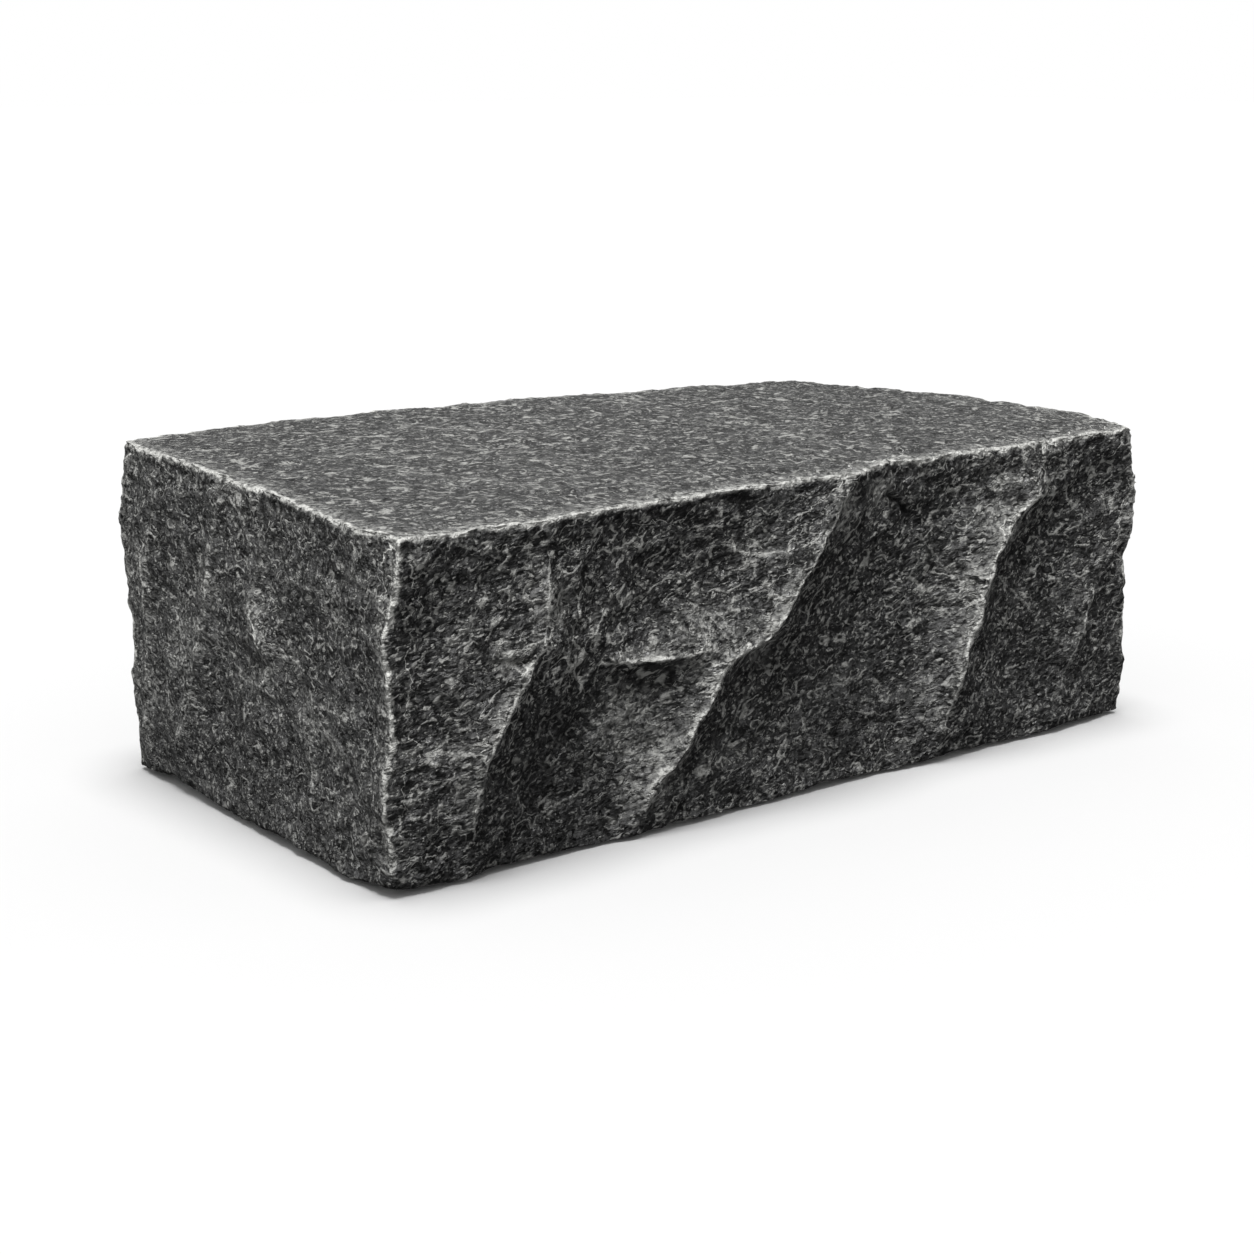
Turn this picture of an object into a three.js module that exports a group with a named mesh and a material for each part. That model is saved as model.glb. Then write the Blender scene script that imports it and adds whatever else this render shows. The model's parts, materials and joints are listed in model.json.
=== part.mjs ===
import * as THREE from 'three';
import { ImprovedNoise } from 'three/addons/math/ImprovedNoise.js';

// Granite armourstone: one quarried block, split on every side, lying on its bed.
// Millimetres, +Z up, length along X. The long face with the big split scars looks towards -Y.

// Main sizes: distances between the nominal planes of the side faces
const LENGTH = 900;
const DEPTH = 480;

// The bed lies this far under height zero of the lines below. The arris under the side faces is
// knocked off: it hangs a little above the ground all round, and the bed starts inside the walls.
const BED_DEPTH = 9;
const ARRIS_CHIP = 3;
const BED_MARGIN = 20;
const BED_MARGIN_WAVE = 7;

// The top is a slightly crowned split face
const TOP_CROWN = 5;

// Roughness of a split face: broad undulation and the grain-scale facets on top of it
const BROAD_SIZE = 62;
const BROAD_HEIGHT = 1.6;
const FACET_SIZE = 19;
const FACET_HEIGHT = 1.9;
const TOP_ROUGHNESS = 0.8;
const ARRIS_ROUGHNESS = 0.6;
const CHIP_SIZE = 45;
const LAYER_GAP = 7.7;

// Between two lines a split face is hollow: its depth there as a share of the gap
const HOLLOW = 0.05;
const UP = new THREE.Vector3(0, 0, 1);

// Rows of facets up a side face: shares of the way from the bottom arris to the ledge,
// then from the ledge to the top arris. The rows crowd together just under the ledge.
const ROWS_BELOW_LEDGE = [0, 0.07, 0.17, 0.27, 0.37, 0.47, 0.57, 0.67, 0.77, 0.86, 0.93];
const ROWS_ABOVE_LEDGE = [0, 0.09, 0.18, 0.27, 0.36, 0.45, 0.54, 0.63, 0.72, 0.81, 0.91, 1];

// Each side face is a row of crest and hollow lines that run from the bottom arris to the top
// arris. A point is [distance along the face, height, how far it stands out of the nominal plane].
// ledge is the height where the ledge crosses the line, columns the facets up to the next line.

// Front face, left to right
const FRONT_LINES = [
  // near corner
  {
    columns: 4,
    ledge: 165,
    points: [[-456, 0, -8], [-461, 60, -8], [-462, 84, -7], [-455, 118, -8],
      [-454, 180, -8], [-458, 211, -7], [-448, 262, -1], [-447, 296, 0]],
  },
  // soft hollow of the left panel, with a short ledge across it
  {
    columns: 4,
    ledge: 190,
    points: [[-421, -3, -6], [-420, 60, -2], [-410, 110, -3], [-398, 150, -3],
      [-385, 190, 1], [-375, 212, -5], [-366, 250, -6], [-362, 295, -2]],
  },
  // first crest
  {
    columns: 4,
    ledge: 187,
    points: [[-382, -4, -3], [-378, 60, 6], [-366, 102, 9], [-353, 123, 9],
      [-336, 148, 9], [-303, 187, 7], [-299, 230, 5], [-297, 296, 4]],
  },
  // dark slope that falls from the first crest
  {
    columns: 4,
    ledge: 172,
    points: [[-332, -4, -8], [-308, 45, -12], [-295, 90, -13], [-285, 130, -9],
      [-275, 172, -1], [-268, 190, -4], [-258, 220, -7], [-250, 250, -7], [-245, 295, -5]],
  },
  // deepest line of the lower left scar, and the tongue that closes the bowl above it
  {
    columns: 4,
    ledge: 156,
    points: [[-240, -4, -10], [-224, 22, -13], [-206, 44, -16], [-203, 62, -18],
      [-212, 88, -20], [-229, 115, -21], [-245, 133, -19], [-262, 156, -13],
      [-250, 175, -9], [-232, 198, -12], [-208, 235, -14], [-192, 265, -12], [-182, 295, -8]],
  },
  // middle of the bowl and its lip
  {
    columns: 5,
    ledge: 151,
    points: [[-222, -4, -8], [-200, 30, -9], [-170, 58, -6], [-144, 90, -7],
      [-146, 118, -12], [-156, 138, -15], [-162, 151, 3], [-150, 170, -5], [-132, 196, -17],
      [-115, 235, -19], [-100, 270, -14], [-95, 296, -8]],
  },
  // second crest, the long diagonal one
  {
    columns: 6,
    ledge: 153,
    points: [[-206, -4, -2], [-182, 36, 6], [-152, 68, 9], [-123, 107, 9], [-104, 140, 9],
      [-57, 152, 9], [-20, 185, 9], [8, 220, 8], [42, 270, 6], [57, 297, 4]],
  },
  // foot of the drop behind the second crest
  {
    columns: 8,
    ledge: 150,
    points: [[-140, -6, -3], [-112, 40, -5], [-70, 80, -8], [-34, 115, -11],
      [4, 150, -13], [40, 190, -15], [72, 230, -15], [100, 262, -14], [116, 298, -13]],
  },
  // line where the middle scar starts to rise again
  {
    columns: 4,
    ledge: 155,
    points: [[100, -5, -7], [138, 35, -12], [165, 73, -17], [183, 115, -20],
      [190, 155, -22], [194, 191, -22], [214, 236, -21], [230, 264, -18], [238, 297, -15]],
  },
  // third crest
  {
    columns: 5,
    ledge: 152,
    points: [[178, -4, 3], [193, 52, 8], [208, 82, 10], [218, 107, 9], [230, 132, 9],
      [233, 152, 8], [243, 172, 8], [255, 197, 8], [283, 232, 8], [312, 240, 6],
      [318, 262, 0], [325, 298, -8]],
  },
  // foot of the drop behind the third crest
  {
    columns: 4,
    ledge: 150,
    points: [[252, -5, -1], [276, 40, -6], [298, 80, -10], [308, 115, -13],
      [306, 150, -15], [330, 195, -16], [362, 228, -15], [380, 265, -11], [392, 299, -6]],
  },
  // last crest, which dies out in a hollow under the top
  {
    columns: 4,
    ledge: 142,
    points: [[350, -4, 0], [368, 45, -2], [396, 92, -3], [408, 117, -4], [420, 142, -5],
      [428, 172, -6], [432, 197, -7], [430, 240, -10], [430, 299, -6]],
  },
  // right corner
  {
    columns: 3,
    ledge: 147,
    points: [[464, -4, -7], [470, 43, -6], [468, 94, -6], [466, 147, -6], [470, 187, -5],
      [475, 218, -4], [470, 248, -2], [462, 274, 0], [452, 300, 2]],
  },
];

// Right end, front to back
const RIGHT_LINES = [
  // leaning rib beside the front corner
  {
    columns: 4,
    ledge: 150,
    points: [[-168, -3, 10], [-152, 80, 20], [-150, 150, 16], [-165, 230, 19], [-172, 306, 16]],
  },
  // hollow
  {
    columns: 4,
    ledge: 135,
    points: [[-95, -2, 6], [-70, 80, 1], [-62, 135, 0], [-75, 230, 7], [-92, 305, 18]],
  },
  // broad middle rib
  {
    columns: 4,
    ledge: 150,
    points: [[-20, -2, 12], [8, 80, 20], [25, 150, 23], [20, 230, 19], [-2, 303, 20]],
  },
  // hollow
  {
    columns: 3,
    ledge: 165,
    points: [[70, -1, 8], [95, 80, 3], [112, 165, 1], [100, 230, 7], [88, 302, 14]],
  },
  // low rib beside the back corner
  {
    columns: 3,
    ledge: 150,
    points: [[162, -2, 6], [165, 80, 13], [180, 150, 11], [175, 230, 14], [170, 300, 7]],
  },
];

// Back face, from the right end to the left end
const BACK_LINES = [
  // right corner, seen from the front
  {
    columns: 6,
    ledge: 150,
    points: [[-447, -2, 0], [-452, 90, 4], [-449, 160, 0], [-455, 220, 4], [-445, 299, 2]],
  },
  // rib beside the corner
  {
    columns: 5,
    ledge: 165,
    points: [[-340, -2, 10], [-355, 80, 17], [-372, 150, 19], [-385, 220, 19], [-392, 301, 10]],
  },
  // first scar
  {
    columns: 6,
    ledge: 150,
    points: [[-270, -1, 5], [-285, 80, -8], [-300, 150, -12], [-320, 220, -5], [-335, 303, 12]],
  },
  // crest that leans to the left as it rises, seen from behind
  {
    columns: 6,
    ledge: 175,
    points: [[-150, -2, 13], [-165, 80, 19], [-190, 130, 23], [-215, 175, 23], [-245, 230, 21],
      [-262, 305, 17]],
  },
  // second scar, the deepest
  {
    columns: 6,
    ledge: 150,
    points: [[-80, -1, 7], [-95, 80, -6], [-110, 130, -11], [-130, 175, -10], [-150, 235, -1],
      [-165, 308, 17]],
  },
  // middle crest
  {
    columns: 5,
    ledge: 140,
    points: [[20, -2, 11], [15, 80, 19], [0, 140, 21], [-5, 180, 23], [-30, 240, 23],
      [-60, 311, 21]],
  },
  // third scar
  {
    columns: 6,
    ledge: 160,
    points: [[100, -1, 7], [95, 80, -4], [90, 140, -11], [75, 180, -12], [60, 240, 1],
      [40, 313, 19]],
  },
  // crest
  {
    columns: 5,
    ledge: 130,
    points: [[215, -2, 11], [205, 70, 19], [185, 130, 23], [170, 170, 23], [160, 240, 21],
      [150, 315, 21]],
  },
  // narrow scar
  {
    columns: 5,
    ledge: 150,
    points: [[290, -1, 5], [285, 70, -4], [270, 130, -9], [262, 180, -6], [262, 240, 5],
      [255, 316, 17]],
  },
  // rib beside the left end
  {
    columns: 6,
    ledge: 165,
    points: [[375, -2, 7], [370, 80, 13], [362, 140, 15], [355, 190, 15], [350, 250, 15],
      [345, 317, 14]],
  },
  // left corner, seen from the front
  {
    columns: 2,
    ledge: 140,
    points: [[446, -3, -5], [446, 86, 1], [446, 122, 0], [449, 165, 2], [451, 211, 3],
      [450, 258, 3], [445, 317, -1]],
  },
];

// Left end, back to front
const LEFT_LINES = [
  // narrow rib beside the back corner
  {
    columns: 3,
    ledge: 145,
    points: [[-212, -3, -2], [-210, 80, 2], [-202, 130, -1], [-196, 168, 5], [-195, 194, 5],
      [-180, 237, 5], [-175, 315, 0]],
  },
  // shallow hollow
  {
    columns: 3,
    ledge: 165,
    points: [[-185, 0, -2], [-175, 80, 0], [-150, 140, 0], [-140, 200, -4], [-125, 250, -2],
      [-115, 313, -2]],
  },
  // rib that leans towards the back at its foot
  {
    columns: 2,
    ledge: 149,
    points: [[-150, 0, 0], [-138, 45, 3], [-112, 99, 4], [-94, 149, 5], [-80, 178, 4],
      [-68, 230, 4], [-48, 280, 3], [-42, 310, -2]],
  },
  // crease beside that rib
  {
    columns: 3,
    ledge: 142,
    points: [[-120, 0, 0], [-108, 45, 0], [-82, 99, -2], [-64, 142, -3], [-50, 159, -3],
      [-30, 182, -1], [-15, 230, 1], [0, 308, -3]],
  },
  // small boss half way up
  {
    columns: 3,
    ledge: 151,
    points: [[-20, 0, 6], [-10, 60, 2], [14, 120, 2], [34, 151, 4], [28, 169, 7],
      [12, 192, 6], [10, 215, 2], [35, 306, -3]],
  },
  // plain part
  {
    columns: 3,
    ledge: 150,
    points: [[95, -1, 9], [100, 80, 1], [105, 150, 0], [100, 220, -1], [105, 302, -3]],
  },
  // low rib beside the near corner
  {
    columns: 2,
    ledge: 155,
    points: [[170, -2, 12], [155, 80, 3], [152, 135, 4], [164, 209, 4], [168, 234, 4],
      [185, 281, 3], [188, 299, 1]],
  },
];

// Turn a distance along a face, a height and a stand-out into a point of the block
const onFront = (along, height, out) => new THREE.Vector3(along, -DEPTH / 2 - out, height);
const onRight = (along, height, out) => new THREE.Vector3(LENGTH / 2 + out, along, height);
const onBack = (along, height, out) => new THREE.Vector3(-along, DEPTH / 2 + out, height);
const onLeft = (along, height, out) => new THREE.Vector3(-LENGTH / 2 - out, -along, height);

const noise = new ImprovedNoise();

// Smooth unevenness between about -1 and 1, a new pattern for each layer
function unevenness(point, size, layer) {
  const across = layer * LAYER_GAP;
  return 2 * noise.noise(point.x / size + across, point.y / size + across, point.z / size);
}

// A push of each axis that depends on the place alone, so faces that share an edge stay closed
function roughness(point, size, height) {
  const push = new THREE.Vector3(
    unevenness(point, size, 1),
    unevenness(point, size, 2),
    unevenness(point, size, 3),
  );
  return push.multiplyScalar(height);
}

function roughened(point, share) {
  const push = roughness(point, BROAD_SIZE, BROAD_HEIGHT);
  push.add(roughness(point, FACET_SIZE, FACET_HEIGHT));
  return point.clone().addScaledVector(push, share);
}

// The point of a line at a given height
function linePoint(line, height) {
  const points = line.points;
  let upper = 1;
  while (upper < points.length - 1 && points[upper][1] < height) {
    upper += 1;
  }
  const [alongA, heightA, outA] = points[upper - 1];
  const [alongB, heightB, outB] = points[upper];
  const share = (height - heightA) / (heightB - heightA);
  const along = THREE.MathUtils.lerp(alongA, alongB, share);
  const out = THREE.MathUtils.lerp(outA, outB, share);
  return line.place(along, height, out);
}

// A line as one point for each row of facets, bottom to top
function lineRows(line) {
  const bottom = line.points[0][1];
  const top = line.points[line.points.length - 1][1];
  const below = ROWS_BELOW_LEDGE.map((share) => THREE.MathUtils.lerp(bottom, line.ledge, share));
  const above = ROWS_ABOVE_LEDGE.map((share) => THREE.MathUtils.lerp(line.ledge, top, share));
  return [...below, ...above].map((height) => linePoint(line, height));
}

// All the lines round the block, each with the function that places its points
function ringLines() {
  const placed = (lines, place) => lines.map((line) => ({ ...line, place }));
  return [
    ...placed(FRONT_LINES, onFront),
    ...placed(RIGHT_LINES, onRight),
    ...placed(BACK_LINES, onBack),
    ...placed(LEFT_LINES, onLeft),
  ];
}

// Nothing at both ends of a stretch, one half way
function bulge(share) {
  return 4 * share * (1 - share);
}

// A point part of the way from one line to the next, on a hollow that dies out at both arrises
function hollowPoint(here, next, share, rowShare) {
  const gap = next.clone().sub(here);
  const depth = HOLLOW * bulge(share) * Math.sin(Math.PI * rowShare);
  return here.clone().addScaledVector(gap, share).addScaledVector(gap.cross(UP), -depth);
}

// Columns of points round the block, anticlockwise from the near corner
function wallColumns() {
  const lines = ringLines();
  const columns = [];
  lines.forEach((line, index) => {
    const here = lineRows(line);
    const next = lineRows(lines[(index + 1) % lines.length]);
    for (let step = 0; step < line.columns; step += 1) {
      const share = step / line.columns;
      const rowShare = (row) => row / (here.length - 1);
      columns.push(here.map((point, row) => hollowPoint(point, next[row], share, rowShare(row))));
    }
  });
  return columns;
}

function columnCount(lines) {
  return lines.reduce((total, line) => total + line.columns, 0);
}

// Facet columns along the front, up to the right corner, and along the right end
const ALONG = columnCount(FRONT_LINES.slice(0, -1));
const ACROSS = columnCount(FRONT_LINES.slice(-1)) + columnCount(RIGHT_LINES);

// A growing list of points and of the triangles between them
class Skin {
  constructor() {
    this.points = [];
    this.triangles = [];
  }

  add(point) {
    this.points.push(point);
    return this.points.length - 1;
  }

  // Two triangles for a four-sided patch, split along its shorter diagonal
  patch(a, b, c, d) {
    const [pa, pb, pc, pd] = [a, b, c, d].map((index) => this.points[index]);
    if (pa.distanceTo(pc) < pb.distanceTo(pd)) {
      this.triangles.push(a, b, c, a, c, d);
    } else {
      this.triangles.push(a, b, d, b, c, d);
    }
  }

  geometry() {
    const geometry = new THREE.BufferGeometry().setFromPoints(this.points);
    geometry.setIndex(this.triangles);
    return geometry;
  }
}

// A side-face point with its roughness; the lowest row only ever lifts off the bed
function wallPoint(smooth, row, rows) {
  if (row > 0 && row < rows - 1) {
    return roughened(smooth, 1);
  }
  const point = roughened(smooth, ARRIS_ROUGHNESS);
  if (row === 0) {
    point.z = smooth.z + ARRIS_CHIP * Math.abs(unevenness(smooth, CHIP_SIZE, 4));
  }
  return point;
}

// The four side faces as one band; returns the indices of its columns
function addWalls(skin, smoothColumns) {
  const columns = smoothColumns.map((column) => {
    return column.map((smooth, row) => skin.add(wallPoint(smooth, row, column.length)));
  });
  columns.forEach((column, index) => {
    const next = columns[(index + 1) % columns.length];
    for (let row = 0; row + 1 < column.length; row += 1) {
      skin.patch(column[row], next[row], next[row + 1], column[row + 1]);
    }
  });
  return columns;
}

// The top face, stretched between the four top arrises and slightly crowned
function addTop(skin, smoothColumns, columns) {
  const edge = columns.map((column) => column[column.length - 1]);
  const at = (index) => {
    const column = smoothColumns[index % smoothColumns.length];
    return column[column.length - 1];
  };
  const front = (i) => at(i);
  const right = (j) => at(ALONG + j);
  const back = (i) => at(2 * ALONG + ACROSS - i);
  const left = (j) => at(2 * ALONG + 2 * ACROSS - j);
  const edgeIndex = (i, j) => {
    if (j === 0) return edge[i];
    if (i === ALONG) return edge[ALONG + j];
    if (j === ACROSS) return edge[2 * ALONG + ACROSS - i];
    return edge[(2 * ALONG + 2 * ACROSS - j) % edge.length];
  };
  const grid = [];
  for (let i = 0; i <= ALONG; i += 1) {
    const u = i / ALONG;
    grid.push([]);
    for (let j = 0; j <= ACROSS; j += 1) {
      const v = j / ACROSS;
      if (i === 0 || i === ALONG || j === 0 || j === ACROSS) {
        grid[i].push(edgeIndex(i, j));
        continue;
      }
      const point = new THREE.Vector3();
      point.addScaledVector(front(i), 1 - v).addScaledVector(back(i), v);
      point.addScaledVector(left(j), 1 - u).addScaledVector(right(j), u);
      point.addScaledVector(front(0), -(1 - u) * (1 - v));
      point.addScaledVector(front(ALONG), -u * (1 - v));
      point.addScaledVector(back(0), -(1 - u) * v);
      point.addScaledVector(back(ALONG), -u * v);
      point.z += TOP_CROWN * Math.sqrt(bulge(u) * bulge(v));
      grid[i].push(skin.add(roughened(point, TOP_ROUGHNESS)));
    }
  }
  for (let i = 0; i < ALONG; i += 1) {
    for (let j = 0; j < ACROSS; j += 1) {
      skin.patch(grid[i][j], grid[i + 1][j], grid[i + 1][j + 1], grid[i][j + 1]);
    }
  }
}

// The knocked-off bottom arris and the flat bed inside it
function addBed(skin, columns) {
  const arris = columns.map((column) => column[0]);
  const rim = arris.map((index) => {
    const point = skin.points[index];
    const margin = BED_MARGIN + BED_MARGIN_WAVE * unevenness(point, CHIP_SIZE, 5);
    const x = point.x * (1 - margin / (LENGTH / 2));
    const y = point.y * (1 - margin / (DEPTH / 2));
    return skin.add(new THREE.Vector3(x, y, -BED_DEPTH));
  });
  rim.forEach((index, column) => {
    const next = (column + 1) % rim.length;
    skin.patch(index, rim[next], arris[next], arris[column]);
  });
  const outline = rim.map((index) => new THREE.Vector2(skin.points[index].x, skin.points[index].y));
  for (const [a, b, c] of THREE.ShapeUtils.triangulateShape(outline, [])) {
    skin.triangles.push(rim[a], rim[c], rim[b]);
  }
}

// Puts the middle of the block's footprint at the origin
function centred(geometry) {
  geometry.computeBoundingBox();
  const middle = geometry.boundingBox.getCenter(new THREE.Vector3());
  return geometry.translate(-middle.x, -middle.y, BED_DEPTH);
}

function armourstone() {
  const skin = new Skin();
  const smoothColumns = wallColumns();
  const columns = addWalls(skin, smoothColumns);
  addTop(skin, smoothColumns, columns);
  addBed(skin, columns);
  const granite = new THREE.MeshStandardMaterial({
    color: '#555554',
    roughness: 0.88,
    metalness: 0,
    flatShading: true,
  });
  const block = new THREE.Mesh(centred(skin.geometry()), granite);
  block.name = 'armourstone';
  return block;
}

const stone = new THREE.Group();
stone.name = 'granite_armourstone';
stone.add(armourstone());

export default stone;
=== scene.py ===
# %% [markdown]
# # A granite armourstone
# An armourstone is a heavy block for a garden wall, split out of the quarry bed with wedges and trimmed with a
# hammer. Nothing on it is sawn or polished. Long scars run over its face where flakes came off, its edges are
# bruised nearly white, and every surface is a rough break through grains of a few millimetres.
#
# This lesson turns a plain solid of that block into the stone. It starts from the frame: the measured solid, in
# metres, lying on the floor at z = 0 with its centre over the origin and its long scarred face towards -Y.

# %% The frame
import json
import math

import bmesh
import bpy
import numpy as np
from mathutils import Matrix, Vector
from mathutils.kdtree import KDTree

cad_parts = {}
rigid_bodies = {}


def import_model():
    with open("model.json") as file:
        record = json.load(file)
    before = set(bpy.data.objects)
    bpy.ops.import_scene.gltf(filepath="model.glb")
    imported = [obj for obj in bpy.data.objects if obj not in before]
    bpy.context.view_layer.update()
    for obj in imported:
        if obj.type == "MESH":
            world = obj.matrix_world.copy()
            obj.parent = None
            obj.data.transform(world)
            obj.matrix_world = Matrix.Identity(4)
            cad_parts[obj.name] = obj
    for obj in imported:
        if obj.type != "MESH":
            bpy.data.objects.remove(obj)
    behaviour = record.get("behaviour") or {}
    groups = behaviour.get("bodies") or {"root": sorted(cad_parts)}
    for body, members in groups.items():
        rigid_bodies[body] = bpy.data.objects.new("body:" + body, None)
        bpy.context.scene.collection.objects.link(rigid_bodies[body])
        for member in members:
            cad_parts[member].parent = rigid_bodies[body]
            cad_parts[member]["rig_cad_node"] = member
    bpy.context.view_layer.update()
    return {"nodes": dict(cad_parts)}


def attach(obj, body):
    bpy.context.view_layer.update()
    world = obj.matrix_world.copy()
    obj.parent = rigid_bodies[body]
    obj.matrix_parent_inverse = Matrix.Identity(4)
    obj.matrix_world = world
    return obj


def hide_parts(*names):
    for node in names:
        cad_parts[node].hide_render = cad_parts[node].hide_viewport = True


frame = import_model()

block = frame["nodes"]["armourstone"]

# %% [markdown]
# ## The camera
# The photograph shows the block three-quarters from its left end, from a little above. The long edges hardly
# converge, so it was taken from some distance with a longish lens. The place and direction below were worked out
# from the seven corners of the block that the photograph shows.

# %% Camera
EYE = Vector((-1.4571, -1.7957, 0.679))
LOOK = Vector((0.6071, 0.7589, -0.2357))
LENS_MM = 67.3

bpy.ops.object.camera_add(location=EYE, rotation=LOOK.to_track_quat("-Z", "Y").to_euler())
camera = bpy.context.object
camera.data.lens = LENS_MM
camera.data.sensor_width = 36
bpy.context.scene.camera = camera
print("the camera stands", round(EYE.length, 2), "m from the block")

# %% [markdown]
# ## Floor and light
# The block lies in a white studio. One soft light stands high on the left and a little in front: it makes the
# top the brightest side, rakes over the long face, and leaves every slope that turns away from it dark. The
# white around the set is full white to the camera alone. To the stone it is a weak even fill, and its reflection
# is kept weaker still, as is the floor's: mirrored white would lay a veil over the hollows, which are nearly
# black in the photograph. The floor has a lamp of its own, straight overhead, and its shadow is a narrow soft
# hem round the foot of the block. A third, weak lamp stands behind on the right, for whoever walks round the
# block. It would flash off the top towards the camera, so it gives no gloss.

# %% Floor
def select_only(piece):
    """Operators act on all that is selected, so everything else is let go first."""
    bpy.ops.object.select_all(action="DESELECT")
    piece.select_set(True)
    bpy.context.view_layer.objects.active = piece


def srgb(code):
    """A colour as it is picked on a screen, such as 8c8c8a, turned to the linear values that shaders mix."""
    parts = [int(code[i:i + 2], 16) / 255 for i in (0, 2, 4)]
    return [p / 12.92 if p <= 0.04045 else ((p + 0.055) / 1.055) ** 2.4 for p in parts] + [1.0]


def add_node(tree, kind, settings=None, inputs=None):
    """Adds one node. Settings are its properties, inputs its sockets: a value, or the socket that feeds it."""
    node = tree.nodes.new(kind)
    for name, value in (settings or {}).items():
        setattr(node, name, value)
    for name, value in (inputs or {}).items():
        if isinstance(value, bpy.types.NodeSocket):
            tree.links.new(value, node.inputs[name])
        else:
            node.inputs[name].default_value = value
    return node


def empty_material(name):
    """A material with only its output node, and that node."""
    material = bpy.data.materials.new(name)
    material.use_nodes = True
    material.node_tree.nodes.clear()
    return material, add_node(material.node_tree, "ShaderNodeOutputMaterial")


bpy.ops.mesh.primitive_plane_add(size=60)
floor = bpy.context.object
floor.name = "studio_floor"
floor.visible_diffuse = False
floor.visible_glossy = False
painted, end = empty_material("matt white paint")
paint = add_node(painted.node_tree, "ShaderNodeBsdfDiffuse", inputs={"Color": srgb("f4f4f4")})
painted.node_tree.links.new(paint.outputs[0], end.inputs["Surface"])
floor.data.materials.append(painted)
print("the floor is", round(floor.dimensions.x), "m wide")

# %% Light
TOWARDS_LIGHT = Vector((-0.35, -0.19, 0.92))
RAKING_STRENGTH = 5.8
RAKING_WIDTH = 30
OVERHEAD_STRENGTH = 2.45
OVERHEAD_WIDTH = 30
BEHIND = Vector((0.60, 0.68, 0.42))
BEHIND_STRENGTH = 1.8
BEHIND_WIDTH = 30
FILL = 0.35
SHEEN_FILL = 0.04


def sun(name, towards, strength, width):
    """A lamp so far away that only its direction counts; the width is how wide it looks, in degrees."""
    bpy.ops.object.light_add(type="SUN", rotation=(-towards).to_track_quat("-Z", "Y").to_euler())
    lamp = bpy.context.object
    lamp.name = name
    lamp.data.energy = strength
    lamp.data.angle = math.radians(width)
    return lamp


def shine_on(lamp, piece):
    """Keeps the lamp's light to one piece."""
    lit = bpy.data.collections.new("lit by " + lamp.name)
    lit.objects.link(piece)
    lamp.light_linking.receiver_collection = lit


# %% Lamps and studio
raking = sun("raking light", TOWARDS_LIGHT, RAKING_STRENGTH, RAKING_WIDTH)
overhead = sun("overhead light", Vector((0, 0, 1)), OVERHEAD_STRENGTH, OVERHEAD_WIDTH)
behind = sun("light from behind", BEHIND, BEHIND_STRENGTH, BEHIND_WIDTH)
behind.visible_glossy = False
shine_on(overhead, floor)

world = bpy.data.worlds.new("white studio")
bpy.context.scene.world = world
world.use_nodes = True
world.node_tree.nodes.clear()
sight = add_node(world.node_tree, "ShaderNodeLightPath")
soft = add_node(world.node_tree, "ShaderNodeMath", {"operation": "MULTIPLY_ADD"},
                {0: sight.outputs["Is Diffuse Ray"], 1: FILL - SHEEN_FILL, 2: SHEEN_FILL}).outputs[0]
fill = add_node(world.node_tree, "ShaderNodeBackground", inputs={"Color": (1, 1, 1, 1), "Strength": soft})
wall = add_node(world.node_tree, "ShaderNodeBackground", inputs={"Color": (1, 1, 1, 1), "Strength": 1.0})
either = add_node(world.node_tree, "ShaderNodeMixShader", inputs={0: sight.outputs["Is Camera Ray"],
                                                                  1: fill.outputs[0], 2: wall.outputs[0]})
add_node(world.node_tree, "ShaderNodeOutputWorld", inputs={"Surface": either.outputs[0]})
bpy.context.scene.view_settings.view_transform = "Standard"
print("three lamps, and a fill of", FILL, "of full white")

# %% [markdown]
# ## From solid to stone
# The solid has the lumps, scars and ridges that show from a step away, in facets of 15 to 20 mm. A break in
# granite has more than that: shallow flake scars two or three fingers wide, and in them the crystals themselves.
# Carving those by hand would take days, so the stone is made in passes, as wind and hammer do it. A copy of the
# solid is wrapped in one even skin of small faces, the facets are rubbed soft, and then each pass pushes the skin
# in and out by a pattern of one size. Big sizes come first.

# %% The skin
SKIN_MM = 2.6

select_only(block)
bpy.ops.object.duplicate()
stone = bpy.context.object
stone.name = "split_stone"
del stone["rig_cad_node"]
stone.parent = None
shine_on(raking, stone)
shine_on(behind, stone)
select_only(stone)
bpy.ops.object.mode_set(mode="EDIT")
bpy.ops.mesh.select_all(action="SELECT")
bpy.ops.mesh.remove_doubles(threshold=1e-5)
bpy.ops.object.mode_set(mode="OBJECT")


def sharp_edges(piece, least_degrees):
    """The outer edges that turn by more than that: both ends, the way each faces, and its turn in right angles."""
    shape = bmesh.new()
    shape.from_mesh(piece.data)
    found = []
    for edge in shape.edges:
        turn = math.degrees(edge.calc_face_angle_signed(0))
        if turn > least_degrees:
            facing = (edge.link_faces[0].normal + edge.link_faces[1].normal).normalized()
            ends = sorted((point.co.copy() for point in edge.verts), key=lambda place: place.z + 0.1 * place.x)
            found.append((*ends, facing, min(turn / 90, 1)))
    shape.free()
    return found


ridges = sharp_edges(stone, 15)
print("ridges and outer edges:", len(ridges), "pieces")


def finish_with(kind, **settings):
    """Adds a modifier to the stone, sets it and applies it."""
    select_only(stone)
    modifier = stone.modifiers.new(kind.title(), kind)
    for name, value in settings.items():
        setattr(modifier, name, value)
    bpy.ops.object.modifier_apply(modifier=modifier.name)


# %% [markdown]
# ## Nicks
# Here and there a splinter left a short groove, or a step a few millimetres high that casts a thin shadow. A long
# lens, pressed into the face along a line and cut away, gives both. The lenses are spheres stretched between two
# points of the face, all joined, and taken off by one Boolean.

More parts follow.
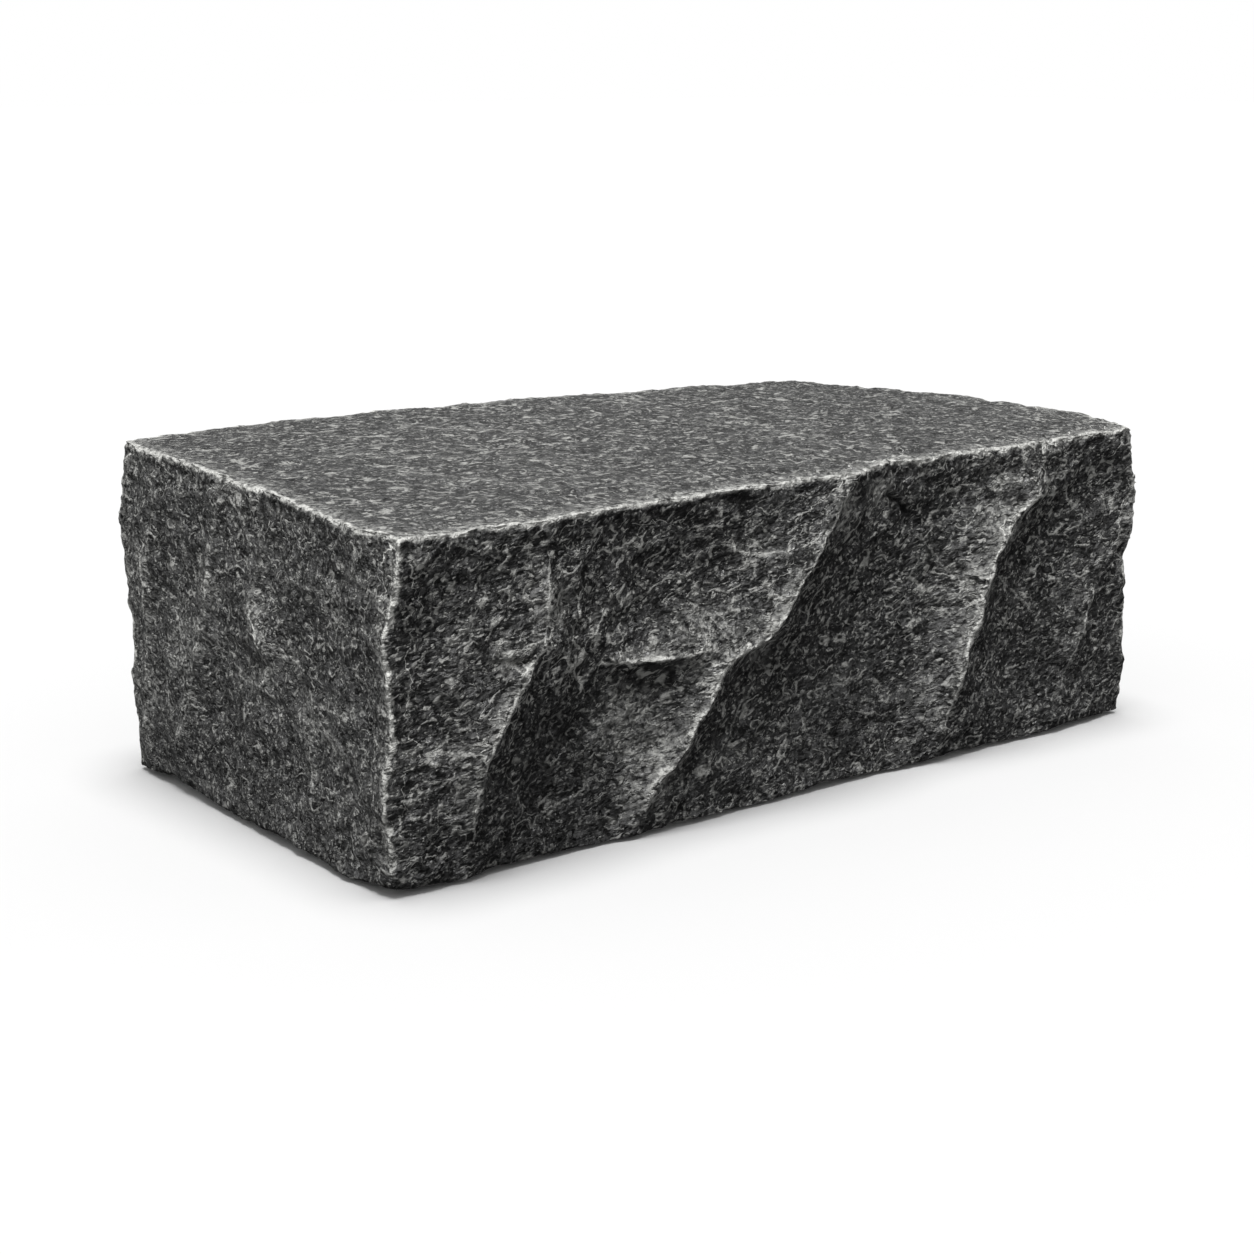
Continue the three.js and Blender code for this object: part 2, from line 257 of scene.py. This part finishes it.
# %% Nicks
NICKS_MM = [
    # start, end, width, depth: each point is x, height and how far in from the plane of the long face
    ((108, 279, 13), (136, 262, 14), 8, 11),
    ((126, 267, 14), (162, 241, 15), 7, 12),
    ((-216, 66, 22), (-224, 46, 21), 5, 4),
    ((-380, 188, 0), (-320, 184, -3), 10, 5),
    ((-432, 66, 6), (-402, 68, 4), 6, 3),
    ((-404, 67, 3), (-376, 74, 0), 6, 3),
    ((-403, 118, 5), (-358, 113, 0), 5, 5),
    ((-456, 126, 8), (-430, 124, 5), 6, 4),
    ((-420, 124, 3), (-410, 150, 3), 6, 4),
    ((-26, 56, 8), (2, 53, 10), 6, 4),
    ((187, 106, 13), (168, 78, 15), 7, 4),
    ((404, 278, 8), (440, 262, 7), 12, 5),
]
LONG_FACE_Y = -0.2477


def on_long_face(x, height, inward):
    """A point near the long face, from millimetres."""
    return Vector((x / 1000, LONG_FACE_Y + inward / 1000, height / 1000))


def press_lens(start, end, width_mm, depth_mm):
    """Stretches a ball between two points, as wide and as deep as the nick."""
    along = end - start
    x_axis = along.normalized()
    y_axis = Vector((0, -1, 0)).cross(x_axis).normalized()
    turn = Matrix((x_axis, y_axis, x_axis.cross(y_axis))).transposed()
    bpy.ops.mesh.primitive_uv_sphere_add(segments=20, ring_count=10, radius=1, location=(start + end) / 2,
                                         rotation=turn.to_euler(),
                                         scale=(along.length / 2, width_mm / 2000, depth_mm / 1000))
    return bpy.context.object


lenses = []
for start, end, width, depth in NICKS_MM:
    lenses.append(press_lens(on_long_face(*start), on_long_face(*end), width, depth))
bpy.ops.object.select_all(action="DESELECT")
for lens in lenses:
    lens.select_set(True)
bpy.context.view_layer.objects.active = lenses[0]
bpy.ops.object.join()
bpy.ops.object.transform_apply(location=True, rotation=True, scale=True)
cutter = bpy.context.object
finish_with("BOOLEAN", object=cutter, operation="DIFFERENCE", solver="EXACT", use_self=True)
bpy.data.objects.remove(cutter)
print("solid with", len(NICKS_MM), "nicks:", len(stone.data.polygons), "faces")

# %% The even skin
finish_with("REMESH", mode="VOXEL", voxel_size=SKIN_MM / 1000)
finish_with("SMOOTH", factor=0.5, iterations=1)
print("skin:", len(stone.data.polygons), "faces of about", SKIN_MM, "mm")

# %% [markdown]
# ## Where the stone stands out
# Hammer blows land on what stands out, and there they break the stone and leave it pale. So each point needs a
# measure of how far it stands out of what is around it. It could be painted by hand. Here the skin is relaxed
# until everything smaller than a reach is gone, and the distance of each point from that relaxed skin says how
# proud it is: above zero on edges and ridges, below zero in hollows. A short reach finds the edges, a long one
# the high ground.

# %% How proud each point is
def points_of(piece):
    """The piece's points as rows of x, y, z in metres."""
    flat = np.empty(3 * len(piece.data.vertices), np.float32)
    piece.data.vertices.foreach_get("co", flat)
    return flat.reshape(-1, 3).astype(float)


def normals_of(piece):
    """The outward direction at each of the piece's points."""
    flat = np.empty(3 * len(piece.data.vertices), np.float32)
    piece.data.vertex_normals.foreach_get("vector", flat)
    return flat.reshape(-1, 3).astype(float)


def relaxed(piece, values, reach_mm, spacing_mm):
    """Evens out the columns of a table of values, one row for each point, a reach away all round."""
    ends = np.empty(2 * len(piece.data.edges), np.int32)
    piece.data.edges.foreach_get("vertices", ends)
    near, far = ends[::2], ends[1::2]
    count = len(piece.data.vertices)
    neighbours = np.bincount(near, minlength=count) + np.bincount(far, minlength=count)
    smooth = values.copy()
    for _ in range(round((reach_mm / spacing_mm) ** 2)):
        for column in smooth.T:
            around = np.bincount(near, column[far], count) + np.bincount(far, column[near], count)
            column[:] = 0.5 * column + 0.5 * around / neighbours
    return smooth


def proudness(piece, reach_mm, spacing_mm):
    """How many millimetres each point stands out of its surroundings."""
    here = points_of(piece)
    out = here - relaxed(piece, here, reach_mm, spacing_mm)
    return 1000 * (out * normals_of(piece)).sum(axis=1)


def keep_as_group(piece, name, weights):
    """Stores a weight from 0 to 1 for each point, which modifiers can read and carry along."""
    group = piece.vertex_groups.new(name=name)
    steps = np.round(50 * np.clip(weights, 0, 1)).astype(int)
    for step in range(1, 51):
        group.add(np.flatnonzero(steps == step).tolist(), step / 50, "REPLACE")


def ramp(values, low, high):
    """Nothing below low, one above high, and a straight climb between."""
    return np.clip((values - low) / (high - low), 0, 1)


# %% Edges, the band under them and the high ground
EDGE_REACH_MM = 12
HIGH_GROUND_REACH_MM = 32
CHIPPED_BAND_MM = 8

proud = proudness(stone, EDGE_REACH_MM, SKIN_MM)
edges = ramp(proud, 1.6, 3.1)
upright = 1 - np.abs(normals_of(stone)[:, 2])
near_top = ramp(points_of(stone)[:, 2], 0.25, 0.28)
beside_edges = relaxed(stone, edges[:, None], CHIPPED_BAND_MM, SKIN_MM)[:, 0]
keep_as_group(stone, "edges", edges)
keep_as_group(stone, "under the arris", 4 * beside_edges * ramp(upright, 0.2, 0.8) * near_top)
# The high ground. Further down it is laid pale, as powder and, on the side turned to the lamp, as painted light.
keep_as_group(stone, "struck_and_lit", ramp(proudness(stone, HIGH_GROUND_REACH_MM, SKIN_MM), 0.5, 5.5))
print("the proudest edge stands out", round(proud.max(), 1), "mm")

# %% [markdown]
# ## Flake scars, crystals and knocked edges
# A flake leaves a shallow bowl with a sharp rim. The Voronoi pattern is just that when the distance to each
# centre is squared: a field of bowls that meet in ridges. It is pressed in at two sizes, for thumb-sized scars
# and for the break round clusters of grains, and clouds of other sizes keep the bowls from looking alike. Two
# more passes are for the edges alone, and for the band under the top edge, where chips flew off. They take more
# than they give, so the outline turns ragged and hardly grows. All patterns are drawn out along one direction,
# the run of the stone, because rock splits more easily along it.

# %% Passes of relief
RUN = Vector((0.86, -0.46, 0.22)).normalized()
RUN_TURN = RUN.to_track_quat("X", "Z").to_euler()
DRAWN_OUT = 2.6

bpy.ops.object.empty_add(rotation=RUN_TURN)
grain_run = bpy.context.object
grain_run.scale = (DRAWN_OUT, 1, 1)


def pattern(name, kind, size_mm, **settings):
    """A pattern whose features are about so many millimetres apart."""
    texture = bpy.data.textures.new(name, kind)
    texture.noise_scale = size_mm / 1000
    for setting, value in settings.items():
        setattr(texture, setting, value)
    return texture


def press(texture, depth_mm, level=0.5, group=""):
    """Pushes the skin out where the pattern is bright and in where it is dark."""
    finish_with("DISPLACE", texture=texture, texture_coords="OBJECT", texture_coords_object=grain_run,
                direction="NORMAL", strength=depth_mm / 1000, mid_level=level, vertex_group=group)


bowls = {"distance_metric": "DISTANCE_SQUARED"}
press(pattern("thumb scars", "VORONOI", 30, **bowls), 3.2, 0.35)
press(pattern("swells", "CLOUDS", 22, noise_depth=2), 2.2)
press(pattern("grain clusters", "VORONOI", 10, **bowls), 1.8, 0.35)
press(pattern("crystals", "CLOUDS", 6, noise_depth=1, noise_type="HARD_NOISE"), 1.3)
press(pattern("knocked edges", "VORONOI", 20, **bowls), 2.6, 0.5, "edges")
press(pattern("chips", "VORONOI", 10, **bowls), 8.0, 0.5, "under the arris")
bpy.data.objects.remove(grain_run)

# %% [markdown]
# ## The lowest rim
# No break ends in a straight edge on the ground. The skin just above the bed is let down by a few millimetres
# in waves, so that the ragged rim hangs in front of the flat bed, now close to the floor and now clear of it.

# %% Rim
RIM_DROP_MM = 4.0
RIM_WAVE_MM = 170

points = points_of(stone)
heights = points[:, 2]
waves = 0.5 - 0.5 * np.cos(2 * math.pi * (points[:, 0] + 0.8 * points[:, 1]) / (RIM_WAVE_MM / 1000))
above_bed = ramp(heights, 0.003, 0.008) * ramp(heights, 0.04, 0.012)
points[:, 2] = heights - RIM_DROP_MM / 1000 * waves * above_bed
stone.data.vertices.foreach_set("co", points.astype(np.float32).ravel())
stone.data.update()
print("the lowest point of the rim is at", round(1000 * points[:, 2].min(), 1), "mm")

# %% [markdown]
# ## Fewer triangles
# The even skin spends as many faces on flat ground as on a ridge. Decimating it at the end keeps the relief where
# it is and takes the faces from where they tell nothing.

# %% Triangles
MOST_TRIANGLES = 196000
finish_with("TRIANGULATE")
finish_with("DECIMATE", ratio=MOST_TRIANGLES / len(stone.data.polygons))
bpy.ops.object.shade_smooth_by_angle(angle=math.radians(38))
print("stone:", len(stone.data.polygons), "triangles")

# %% [markdown]
# ## Bruises, painted light and painted shade
# Split granite turns pale where it was struck, because the blow crushes the grains to white powder. Five marks
# are kept on the points for the material to read. "beside" is how far a point lies to one side of the nearest
# ridge, and "ridge" how sharp that ridge is: together they draw lines finer than the triangles, because a
# distance stays true inside a triangle while a painted line would break up. One more is the wide pale paint on the
# high ground and round the places where a single blow landed, powder and painted light, since the high ground and
# the ridge bands are painted only on the sides turned to the lamp.
# Another is a flatter grey painted on all that faces the lamp, and the last is painted shade on scars that lie in
# shade.

# %% Marks for the material
def weights_of(piece, name):
    """The weights that a vertex group holds, one for each point."""
    group = piece.vertex_groups[name].index
    found = np.zeros(len(piece.data.vertices))
    for point in piece.data.vertices:
        for share in point.groups:
            if share.group == group:
                found[point.index] = share.weight
    return found


def keep_as_mark(piece, name, values):
    """Stores one number for each point under a name that a shader can read."""
    mark = piece.data.attributes.new(name, "FLOAT", "POINT")
    mark.data.foreach_set("value", values.astype(np.float32))


def beside_ridges(piece, edges):
    """How many millimetres each point lies to the side of the nearest edge, and how sharp that edge is.

    Below the edges of the top the distance counts up, on the top it counts down.
    """
    beads = []
    for start, end, facing, sharpness in edges:
        across = (end - start).cross(facing).normalized()
        if facing.z > 0.5 and across.z > 0:
            across.negate()
        for step in range(math.ceil((end - start).length / 0.001)):
            beads.append((start + step * 0.001 * (end - start).normalized(), across, sharpness))
    nearest = KDTree(len(beads))
    for number, bead in enumerate(beads):
        nearest.insert(bead[0], number)
    nearest.balance()
    sideways, sharp = [], []
    for point in piece.data.vertices:
        bead, across, sharpness = beads[nearest.find(point.co)[1]]
        sideways.append(1000 * across.dot(point.co - bead))
        sharp.append(sharpness)
    return np.clip(sideways, -40, 40), np.array(sharp)


# %% Where single blows landed, and patches of painted light and painted shade
# Several patches lighten slopes turned to the lamp or ground in the stone's own shadow: painted light as well as
# powder.
BLOWS_AND_LIT_PATCHES_MM = [
    # x, height, radius on the long face
    (-205, 108, 46), (-176, 74, 36), (-124, 169, 46), (-342, 192, 24), (-299, 228, 30),
    (260, 228, 34), (226, 174, 32), (36, 268, 32), (-384, 83, 26), (-194, 38, 34),
    (-262, 0, 34), (-60, 160, 30), (100, 285, 30),
]
END_FACE_X = -0.4525
END_BLOWS_MM = [
    # distance towards the long face, height, radius on the left face
    (-120, 150, 34), (-70, 215, 30), (20, 200, 26), (110, 120, 28), (150, 235, 24), (-190, 90, 26),
]
SHADE_PATCHES_MM = [
    # x, height, radius of each patch of painted shade, on scars that lie in shade
    (-290, 118, 46), (-300, 70, 52), (-258, 66, 46), (-330, 18, 54), (-266, 14, 54), (60, 60, 60), (340, 70, 50),
]


def round_patch_weights(piece, round_patches):
    """One at the middle of each round patch, falling to nothing at its radius."""
    points = points_of(piece)
    most = np.zeros(len(points))
    for centre, radius_mm in round_patches:
        away = np.linalg.norm(points - np.array(centre), axis=1)
        most = np.maximum(most, ramp(away, radius_mm / 1000, 0.2 * radius_mm / 1000))
    return most


round_patches = [(on_long_face(x, height, 8), radius) for x, height, radius in BLOWS_AND_LIT_PATCHES_MM]
round_patches += [((END_FACE_X, -along / 1000, height / 1000), radius) for along, height, radius in END_BLOWS_MM]
painted_shade = [(on_long_face(x, height, 12), radius) for x, height, radius in SHADE_PATCHES_MM]
# The first count is blows with patches of painted light, the second patches of painted shade.
print(len(round_patches), "blows and", len(painted_shade), "clean places")

# %% The five marks
# This points up and to the left, close to the raking light. The side it marks is the lit side, and the pale paint
# laid there is painted light.
TOWARDS_PAINTED_LIGHT = np.array((-0.6, 0.0, 0.8))
RIDGE_POWDER_AND_LIGHT_MM = 16
LIT_SIDE_REACH_MM = 10
TRIANGLE_MM = 4.4

off_the_ground = ramp(points_of(stone)[:, 2], 0.012, 0.04)
lit_side = ramp(normals_of(stone) @ TOWARDS_PAINTED_LIGHT, -0.15, 0.35)
high_ground = weights_of(stone, "struck_and_lit")
stone.vertex_groups.clear()
sideways, sharp = beside_ridges(stone, ridges)
along_ridges = 0.8 * ramp(abs(sideways), RIDGE_POWDER_AND_LIGHT_MM, 2) * ramp(sharp, 0.17, 0.34)
# Powder and painted light: the patches, and the high ground and the bands beside ridges where they face the lamp,
# are laid pale.
struck_and_lit = np.maximum(round_patch_weights(stone, round_patches), lit_side * np.maximum(high_ground, along_ridges))
keep_as_mark(stone, "beside", sideways)
keep_as_mark(stone, "ridge", sharp * off_the_ground)
keep_as_mark(stone, "struck_and_lit", struck_and_lit * off_the_ground)
keep_as_mark(stone, "painted_shade", round_patch_weights(stone, painted_shade))
# Painted: a grey for the sides turned to the lamp, spread over a short reach, so lit and shaded sides get different
# colours.
keep_as_mark(stone, "lit_side_grey", relaxed(stone, lit_side[:, None], LIT_SIDE_REACH_MM, TRIANGLE_MM)[:, 0])
print("within 2 mm of a ridge:", round(100 * float((abs(sideways) < 2).mean()), 1), "per cent of the points")

# %% [markdown]
# ## Split granite
# Dark granite is black mica and hornblende with grey feldspar and a little clear quartz, in grains of 2 to 5 mm.
# On a split face no grain is whole: each breaks along its own cleavage, so neighbours tilt differently and one
# flashes where the next stays black. Colour alone would look printed on. Here the same cells carry both, a tone
# and a tilt, so that the light finds the grains. Between them run thin pale steps where one layer ended. Quartz
# and feldspar have an index of refraction near 1.55, and a broken face is rough, so the stone has a dull gloss
# with a few brighter grains.

# %% Material
granite, end = empty_material("split dark granite")
tree = granite.node_tree


def maths(kind, first, second=0.0, third=0.0):
    """One sum on numbers, with its result."""
    return add_node(tree, "ShaderNodeMath", {"operation": kind}, {0: first, 1: second, 2: third}).outputs[0]


def vectors(kind, first, second=(0, 0, 0)):
    """One sum on vectors, with its result."""
    node = add_node(tree, "ShaderNodeVectorMath", {"operation": kind}, {0: first, 1: second})
    return node.outputs["Value" if kind in ("DOT_PRODUCT", "LENGTH") else "Vector"]


def between(value, low, high, start=0.0, stop=1.0):
    """Carries the stretch from low to high over to start and stop, and no further."""
    return add_node(tree, "ShaderNodeMapRange", inputs={"Value": value, "From Min": low, "From Max": high,
                                                        "To Min": start, "To Max": stop}).outputs[0]


def blend(share, below, above):
    """Mixes two colours."""
    node = add_node(tree, "ShaderNodeMix", {"data_type": "RGBA"}, {0: share})
    for socket, colour in ((6, below), (7, above)):
        if isinstance(colour, bpy.types.NodeSocket):
            tree.links.new(colour, node.inputs[socket])
        else:
            node.inputs[socket].default_value = colour
    return node.outputs[2]


place = add_node(tree, "ShaderNodeTexCoord").outputs["Object"]


def cloud(size_mm, detail=2.0, where=place):
    """Soft noise with features of that size."""
    return add_node(tree, "ShaderNodeTexNoise", inputs={"Vector": where, "Scale": 1000 / size_mm, "Detail": detail})


# %% The run of the stone
wander = vectors("SUBTRACT", cloud(14).outputs["Color"], (0.5, 0.5, 0.5))
curl = vectors("SUBTRACT", cloud(5).outputs["Color"], (0.5, 0.5, 0.5))
bent = vectors("ADD", place, vectors("MULTIPLY", wander, (0.008, 0.008, 0.008)))
bent = vectors("ADD", bent, vectors("MULTIPLY", curl, (0.003, 0.003, 0.003)))
drawn = add_node(tree, "ShaderNodeMapping", {"vector_type": "TEXTURE"},
                 {"Vector": bent, "Rotation": RUN_TURN, "Scale": (DRAWN_OUT, 1, 1)}).outputs[0]


# %% Grains
def cells(size_mm):
    """Grains of that size: three chance numbers for each, and its height as a small plane with its own tilt."""
    node = add_node(tree, "ShaderNodeTexVoronoi", inputs={"Vector": drawn, "Scale": 1000 / size_mm})
    lean = vectors("SUBTRACT", node.outputs["Color"], (0.5, 0.5, 0.5))
    away = vectors("SUBTRACT", drawn, node.outputs["Position"])
    chance = add_node(tree, "ShaderNodeSeparateColor", inputs={"Color": node.outputs["Color"]}).outputs
    return chance, vectors("DOT_PRODUCT", lean, away)


CRUMB_MM = 1.5  # real crumbs go down to a tenth of this, too fine to show from two metres
GRAIN_MM = 2.6
FLAKE_MM = 7.5
LAYER_MM = 20.0
grains, grain_tilt = cells(GRAIN_MM)
crumbs = cells(CRUMB_MM)[0]
flake_tilt = cells(FLAKE_MM)[1]
layer_tilt = cells(LAYER_MM)[1]
print("grains of", GRAIN_MM, "mm, drawn out to", round(GRAIN_MM * DRAWN_OUT, 1), "mm")

# %% Splinters
def splinters(size_mm, plates, edge):
    """Thin plates that overlap like scales: each one climbs to a broken rim and drops. Gives height and rim."""
    field = maths("MULTIPLY", cloud(size_mm, 1.0, drawn).outputs["Fac"], plates)
    run = maths("FRACT", field)
    climb = between(run, 0.0, 1 - edge)
    drop = between(run, 1 - edge, 1.0, 1.0, 0.0)
    rim = between(maths("ABSOLUTE", maths("SUBTRACT", run, 1 - edge)), edge / 2, edge, 1.0, 0.0)
    return maths("MINIMUM", climb, drop), rim


splinter, splinter_rim = splinters(5.0, 2.4, 0.17)
sheet, sheet_rim = splinters(20, 5.0, 0.16)
here_and_there = between(cloud(5.5).outputs["Fac"], 0.49, 0.57)
patches = between(cloud(12).outputs["Fac"], 0.48, 0.58)
splinter_strokes = maths("MULTIPLY", splinter_rim, here_and_there)
sheet_strokes = maths("MULTIPLY", sheet_rim, patches)
strokes = maths("MAXIMUM", splinter_strokes, sheet_strokes)

# %% Relief of the granite
height = maths("MULTIPLY", grain_tilt, 1.3)
height = maths("MULTIPLY_ADD", flake_tilt, 0.8, height)
height = maths("MULTIPLY_ADD", layer_tilt, 0.3, height)
height = maths("MULTIPLY_ADD", maths("MULTIPLY", splinter, here_and_there), 0.0012, height)
height = maths("MULTIPLY_ADD", maths("MULTIPLY", sheet, patches), 0.0018, height)
rough = cloud(3.2, 2.0, drawn).outputs["Fac"]
height = maths("MULTIPLY_ADD", rough, 0.0022, height)
height = maths("MULTIPLY_ADD", cloud(9.0, 3.0).outputs["Fac"], 0.004, height)
relief = add_node(tree, "ShaderNodeBump", inputs={"Height": height, "Distance": 1.0, "Strength": 1.0})

# %% Colours of the grains
# The black is mica and also painted shade. The two pale greys are crushed grains and powder and also painted light.
# The last grey is painted on the sides turned to the lamp.
BLACK_MICA_AND_SHADE = srgb("0a0a0b")
DARK = srgb("272727")
GREY = srgb("4e4e4e")
FELDSPAR = srgb("969692")
CRUSHED_AND_LIT = srgb("acaca8")
POWDER_AND_HIGHLIGHT = srgb("b8b8b4")
LIT_SIDE_GREY = srgb("3e3e3d")

tone = maths("ADD", maths("MULTIPLY", grains["Red"], 0.55), maths("MULTIPLY", crumbs["Red"], 0.45))
ground = blend(between(tone, 0.30, 0.42), BLACK_MICA_AND_SHADE, DARK)
ground = blend(between(tone, 0.60, 0.70), ground, GREY)
ground = blend(between(tone, 0.79, 0.85), ground, FELDSPAR)
ground = blend(between(cloud(24, 4.0).outputs["Fac"], 0.38, 0.62, 0.0, 0.2), ground, GREY)
# Painted shade: where the fine relief is low, the grains are darkened to near black, as the pits would lie in
# shadow.
ground = blend(between(rough, 0.40, 0.46, 0.9, 0.0), ground, BLACK_MICA_AND_SHADE)
ground = blend(maths("MULTIPLY", strokes, 0.85), ground, CRUSHED_AND_LIT)

# %% The deep slit
SLIT_MIDDLE = on_long_face(135, 260, 14)
SLIT_TURN = math.radians(35)
SLIT_HALF = (0.033, 0.03, 0.0035)  # half its length, depth and width, in metres

across_slit = add_node(tree, "ShaderNodeMapping", {"vector_type": "TEXTURE"},
                       {"Vector": bent, "Location": SLIT_MIDDLE, "Rotation": (0, SLIT_TURN, 0),
                        "Scale": SLIT_HALF}).outputs[0]
slit = between(vectors("LENGTH", across_slit), 0.6, 1.3, 0.9, 0.0)
ground = blend(slit, ground, BLACK_MICA_AND_SHADE)

# %% [markdown]
# ## Powder, painted light and painted shade
# The marks now lay pale paint over the grains: a wide broken dust on the struck ground, which is powder and painted
# light, and a thin ragged line along each ridge, wider the sharper the ridge is, which is powder and a painted
# highlight. Shade goes the other way: the sides turned to the lamp get a flatter grey than those turned away, and
# scars in shade are painted black. The slit above, the small caves that chips left under the top edge, and the foot
# of the stone hardly see the light, and are deeper than the mesh has faces for, so they are darkened as well. All
# of these darkenings are painted shade.

# %% Painted grey, painted shade, and powder with painted light
def mark(name):
    """One of the marks kept on the points."""
    return add_node(tree, "ShaderNodeAttribute", {"attribute_name": name}).outputs["Fac"]


# Painted light and shade: the sides turned to the lamp get a flatter grey, those turned away keep the full contrast
# of black and pale grains.
ground = blend(maths("MULTIPLY", mark("lit_side_grey"), 0.35), ground, LIT_SIDE_GREY)
# Painted shade: black laid on scars that lie in shade.
ground = blend(maths("MULTIPLY", mark("painted_shade"), 0.6), ground, BLACK_MICA_AND_SHADE)
powder_and_light = between(cloud(5.0, 3.0).outputs["Fac"], 0.4, 0.62, 0.0, 0.6)
# Powder and painted light: pale paint on the struck ground, the high ground and ridge bands only on the sides
# turned to the lamp.
ground = blend(maths("MULTIPLY", mark("struck_and_lit"), powder_and_light), ground, CRUSHED_AND_LIT)

# %% Ridge lines: powder and a painted highlight
ridge = mark("ridge")
ragged = between(cloud(9.0, 4.0).outputs["Fac"], 0.25, 0.75, -3.0, 3.0)
aside = maths("ABSOLUTE", maths("ADD", mark("beside"), ragged))
reach = between(ridge, 0.25, 0.9, 1.1, 2.0)
line = between(maths("DIVIDE", aside, reach), 0.6, 1.5, 1.0, 0.0)
thin_line = maths("MULTIPLY", line, between(ridge, 0.17, 0.34))
broken = between(cloud(11.0, 3.0).outputs["Fac"], 0.36, 0.52, 0.25, 0.95)
# Powder and a painted highlight: a pale line on the crest of each ridge.
ground = blend(maths("MULTIPLY", thin_line, broken), ground, POWDER_AND_HIGHLIGHT)

# %% Foot and caves
rise = add_node(tree, "ShaderNodeSeparateXYZ", inputs={"Vector": place}).outputs["Z"]
ground = blend(between(rise, 0.0, 0.2, 0.4, 0.0), ground, BLACK_MICA_AND_SHADE)
caves = maths("MULTIPLY", between(mark("beside"), 2.5, 4.5), between(mark("beside"), 8.0, 13.0, 1.0, 0.0))
caves = maths("MULTIPLY", caves, between(cloud(8.0).outputs["Fac"], 0.44, 0.52))
caves = maths("MULTIPLY", caves, between(rise, 0.24, 0.27))
ground = blend(maths("MULTIPLY", caves, between(ridge, 0.5, 0.7, 0.0, 0.85)), ground, BLACK_MICA_AND_SHADE)

# %% The stone's shader
shader = add_node(tree, "ShaderNodeBsdfPrincipled",
                  inputs={"Base Color": ground, "Normal": relief.outputs["Normal"], "IOR": 1.55,
                          "Roughness": between(grains["Green"], 0.6, 1.0, 0.7, 0.42)})
tree.links.new(shader.outputs[0], end.inputs["Surface"])

stone.data.materials.clear()
stone.data.materials.append(granite)
print("split dark granite:", len(tree.nodes), "nodes")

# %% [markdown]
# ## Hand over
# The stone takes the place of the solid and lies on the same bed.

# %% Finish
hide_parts("armourstone")
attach(stone, "root")
